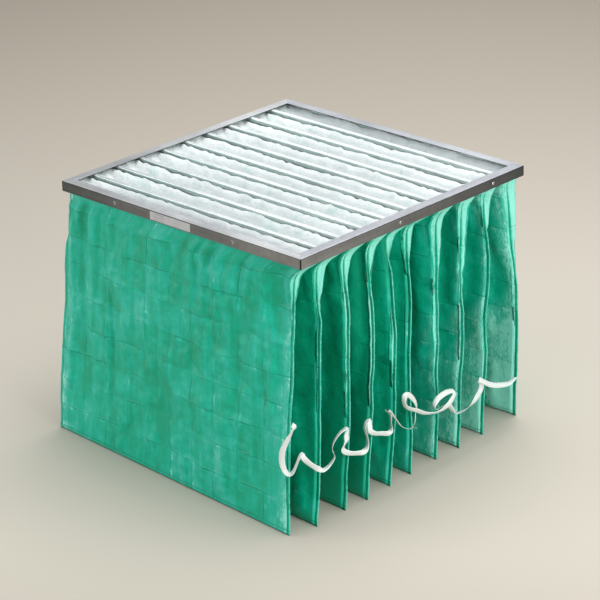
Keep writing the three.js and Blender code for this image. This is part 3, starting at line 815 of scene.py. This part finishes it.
def fleece():
    wool = Finish("white_fleece")
    place = wool.place()
    fluff = wool.noise(place, 300, 8, 0.65)
    clouds = wool.noise(place, 26, 5, 0.6)
    thin_spots = wool.spread(wool.noise(place, 15, 4, 0.6, 1.2), 0.56, 0.72)
    tone = wool.mix(clouds, *FLEECE_TONES)
    tone = wool.mix(thin_spots, tone, THIN_TONE)
    tone = wool.mix(wool.spread(fluff, 0.35, 0.65, 0.25, 0), tone, FLUFF_SHADE)
    lumps = wool.relief(wool.noise(place, 70, 4), 0.5, 0.003)
    # A faint glow of the fleece's own colour is painted light.
    return wool.finish(
        Base_Color=tone, Emission_Color=tone, Emission_Strength=0.05, Roughness=0.95,
        Specular_IOR_Level=0.15, Normal=wool.relief(fluff, 0.7, 0.001, lumps),
    )


def uneven(a, b, c, depth, a2, b2, c2):
    """One noise with a second, weaker one laid over it."""
    return noise.noise(Vector((a, b, c))) + depth * noise.noise(Vector((a2, b2, c2)))


def hung_lining(number, finish):
    length = 2 * (MOUTH_RIM - LINING_FOOT)
    tip = CLOTH_HALF - LINING_SIDE
    bend = MOUTH_HALF_LENGTH - LINING_END
    half = evenly(0, bend, LINING_STEP) + evenly(bend, tip, LINING_END_STEP) + [tip]
    rows = 2 * round(length / LINING_STEP / 2)
    sheet = cloth_grid([-place for place in reversed(half[1:])] + half, length, rows)
    hangs = {}
    for vert in sheet.verts:
        a, b = vert.co.x, vert.co.y
        side = -1 if b < 0 else 1
        level = LINING_FOOT + abs(b)
        torn = uneven(a * 90, number * 3.3, side, 0.7, a * 18, number * 4.1, side)
        rim = HEADER_TOP - EDGE_DROP + EDGE_RAGGED * torn
        height = LINING_FOOT + (level - LINING_FOOT) * (rim - LINING_FOOT) / (MOUTH_RIM - LINING_FOOT)
        key = round(height * 1e5)
        if key not in hangs:
            hangs[key] = Hang(number, height)
        at = hangs[key]
        sign = 1 if a >= 0 else -1
        below = ramp(HEADER_BASE + 0.009, HEADER_BASE - 0.012, height)
        inset = LINING_INSET + (DEEPEST_DENT + 0.0005) * below
        tuck = LINING_TUCK * math.sin(math.pi * at.open_share) * below
        half_length = at.half_length - inset - tuck
        end_half = max(at.end_half - inset, 0.0003)
        along = abs(a) / tip * (half_length + end_half)
        puff = uneven(a * 38, b * 30, number * 2.1 + side, 0.6, a * 85, b * 60, number) - 0.6
        if along > half_length:
            x = at.lean + sign * (half_length + END_PUFF * puff)
            y = at.line(sign) + side * max(end_half - (along - half_length), LEAST_LINING)
        else:
            share = along / at.half_length
            x = at.lean + sign * along
            wall = lens(at, share) - inset + WALL_PUFF * puff
            y = at.line(sign * share) + side * max(wall, LEAST_LINING)
        vert.co = (x, y, height)
    piece = new_piece(f"lining_fleece_{number + 1}", sheet, finish)
    thick = piece.modifiers.new("fleece_thickness", "SOLIDIFY")
    thick.thickness = FLEECE_THICKNESS
    thick.offset = 0
    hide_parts(f"lining_{number + 1}")
    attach(piece, "root")


white_fleece = fleece()
for number in range(POCKETS):
    hung_lining(number, white_fleece)


# Spacer ribbon: a white woven satin ribbon 10 mm wide, tacked by hand to the side seams near the
# pockets' lower corners so that they keep their distance. It loops and turns between the tacks.
# A point of its route is its place across the header in pocket pitches, its height and its
# distance out from the header's middle in millimetres, and how far it has turned its edge outwards.
RIBBON_WIDTH = 0.01
RIBBON_SKIN = 0.00035
RIBBON_STEP = 0.002
RIBBON_CUP = 0.0006
RIB_PITCH = 0.0006
SELVEDGE = (0.004, 0.0048)
SATIN_TONES = ((0.6, 0.66, 0.63), (0.75, 0.8, 0.775))
SELVEDGE_TONE = (0.9, 0.93, 0.91)
RIBBON_ROUTE = [
    (-5.54, 222, 291, 60), (-5.49, 217, 294, 40), (-5.53, 210, 291, 60), (-5.53, 200, 285, 45),
    (-5.56, 184, 277, 20), (-5.61, 168, 271, 5), (-5.62, 155, 269, 0), (-5.59, 139, 269, 15),
    (-5.52, 126, 271, 40), (-5.43, 120, 275, 65), (-5.35, 124, 280, 70), (-5.29, 138, 285, 75),
    (-5.26, 152, 290, 72), (-5.20, 160, 294, 60), (-5.20, 154, 297, 25), (-5.02, 141, 298, 0),
    (-4.73, 126, 298, 0), (-4.52, 117, 299, 45), (-4.36, 114, 300, 75), (-4.15, 117, 300, 78),
    (-3.95, 125, 300, 80), (-3.88, 132, 299, 82), (-3.95, 142, 298, 84), (-3.91, 151, 297, 85),
    (-3.76, 161, 297, 85), (-3.55, 169, 298, 84), (-3.36, 172, 301, 80), (-3.33, 168, 302, 60),
    (-3.41, 160, 303, 35), (-3.43, 152, 304, 40), (-3.52, 145, 304, 65), (-3.58, 138, 303, 55),
    (-3.49, 130, 303, 22), (-3.24, 122, 304, 0), (-2.93, 116, 304, 0), (-2.68, 113, 304, 25),
    (-2.51, 118, 303, 55), (-2.45, 128, 302, 65), (-2.50, 143, 301, 62), (-2.54, 155, 300, 60),
    (-2.45, 163, 299, 70), (-2.33, 166, 301, 60), (-2.40, 160, 305, 35), (-2.44, 150, 308, 20),
    (-2.25, 141, 308, 0), (-1.91, 133, 306, 0), (-1.56, 126, 305, 10), (-1.41, 131, 304, 60),
    (-1.41, 146, 303, 75), (-1.42, 160, 302, 50), (-1.55, 169, 303, 25), (-1.47, 164, 306, 45),
    (-1.20, 144, 305, 60), (-0.94, 126, 304, 60), (-0.60, 114, 303, 60), (-0.37, 114, 302, 65),
    (-0.22, 121, 300, 80), (-0.17, 134, 298, 84), (-0.13, 146, 299, 75), (-0.32, 164, 303, 60),
    (-0.65, 182, 307, 40), (-0.88, 185, 309, 30), (-0.92, 172, 310, 40), (-0.70, 158, 309, 20),
    (-0.28, 144, 307, 10), (0.12, 130, 306, 20), (0.55, 122, 307, 40), (0.84, 122, 309, 35),
    (1.09, 126, 310, 20), (1.33, 132, 309, 20), (1.50, 140, 307, 50), (1.43, 147, 304, 70),
    (1.12, 148, 303, 35), (0.80, 143, 302, 30), (0.62, 133, 302, 50), (0.75, 124, 300, 60),
    (1.10, 122, 300, 40), (1.34, 119, 301, 20), (1.47, 109, 302, 25), (1.60, 98, 302, 50),
    (1.78, 95, 302, 75), (2.27, 95, 301, 60), (2.64, 102, 300, 25), (2.93, 116, 299, 10),
    (2.98, 129, 299, 30), (2.82, 140, 300, 45), (2.95, 135, 303, 50), (3.37, 119, 301, 50),
    (3.86, 107, 299, 50), (4.42, 99, 296, 70), (4.78, 104, 295, 80),
]
TOWARDS_CORNER = Vector((0.69, -0.72, 0)).normalized()


def satin():
    ribbon = Finish("satin_ribbon")
    flat = ribbon.step("UVMap", "UV")
    across = ribbon.parts(flat)[0]
    rib = ribbon.sum("PINGPONG", across, RIB_PITCH)
    weave = ribbon.noise(flat, 1400, 2)
    tone = ribbon.mix(ribbon.noise(flat, 90, 3), *SATIN_TONES)
    edge = ribbon.spread(ribbon.sum("ABSOLUTE", across), *SELVEDGE)
    tone = ribbon.mix(edge, tone, SELVEDGE_TONE)
    woven = ribbon.relief(weave, 0.2, 0.0002)
    return ribbon.finish(
        Base_Color=tone, Roughness=0.36, Sheen_Weight=0.25,
        Normal=ribbon.relief(ribbon.spread(rib, 0, RIB_PITCH), 0.5, 0.0002, woven),
    )


CURVE_PARTS = 12


def spread_route(points, step):
    """Even places along a smooth curve through the points, with what each point carries."""
    fine = []
    for i in range(len(points) - 1):
        before, here, after = points[max(i - 1, 0)], points[i], points[i + 1]
        beyond = points[min(i + 2, len(points) - 1)]
        for k in range(CURVE_PARTS):
            t = k / CURVE_PARTS
            fine.append([
                0.5 * (
                    2 * q + (r - p) * t + (2 * p - 5 * q + 4 * r - s) * t**2
                    + (3 * q - p - 3 * r + s) * t**3
                )
                for p, q, r, s in zip(before, here, after, beyond)
            ])
    fine.append(list(points[-1]))
    places, run = [fine[0]], 0.0
    for first, second in zip(fine, fine[1:]):
        run += math.dist(first[:3], second[:3])
        if run >= step:
            places.append(second)
            run = 0.0
    return places


def tacked_ribbon(finish):
    """Sweeps the ribbon along its route, turning its width as the route says."""
    marks = [
        (HEADER_X + out / 1000, across * PITCH, height / 1000, math.radians(turned))
        for across, height, out, turned in RIBBON_ROUTE
    ]
    places = spread_route(marks, RIBBON_STEP)
    strip = cloth_grid([-0.5, -0.25, 0, 0.25, 0.5], len(places) - 1, len(places) - 1)
    flat = strip.loops.layers.uv.active
    centres = [Vector(place[:3]) for place in places]
    run = [0.0]
    for first, second in zip(centres, centres[1:]):
        run.append(run[-1] + (second - first).length)
    frames = []
    for i, centre in enumerate(centres):
        ahead = (centres[min(i + 1, len(centres) - 1)] - centres[max(i - 1, 0)]).normalized()
        broad = ahead.cross(TOWARDS_CORNER).normalized()
        outward = broad.cross(ahead)
        if frames and broad.dot(frames[-1][1]) < 0:
            broad = -broad
        frames.append((centre, broad, outward))
    half_count = (len(places) - 1) / 2
    for face in strip.faces:
        for loop in face.loops:
            i = round(loop.vert.co.y + half_count)
            loop[flat].uv = (loop.vert.co.x * RIBBON_WIDTH, run[i])
    for vert in strip.verts:
        i = round(vert.co.y + half_count)
        centre, broad, outward = frames[i]
        turned = places[i][3]
        wide = math.cos(turned) * broad + math.sin(turned) * outward
        face_out = math.cos(turned) * outward - math.sin(turned) * broad
        cup = RIBBON_CUP * (1 - (2 * vert.co.x) ** 2)
        vert.co = centre + vert.co.x * RIBBON_WIDTH * wide + cup * face_out
    piece = new_piece("spacer_ribbon", strip, finish)
    skin = piece.modifiers.new("ribbon_thickness", "SOLIDIFY")
    skin.thickness = RIBBON_SKIN
    skin.offset = 0
    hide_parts("spacer_tape")
    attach(piece, "root")


tacked_ribbon(satin())
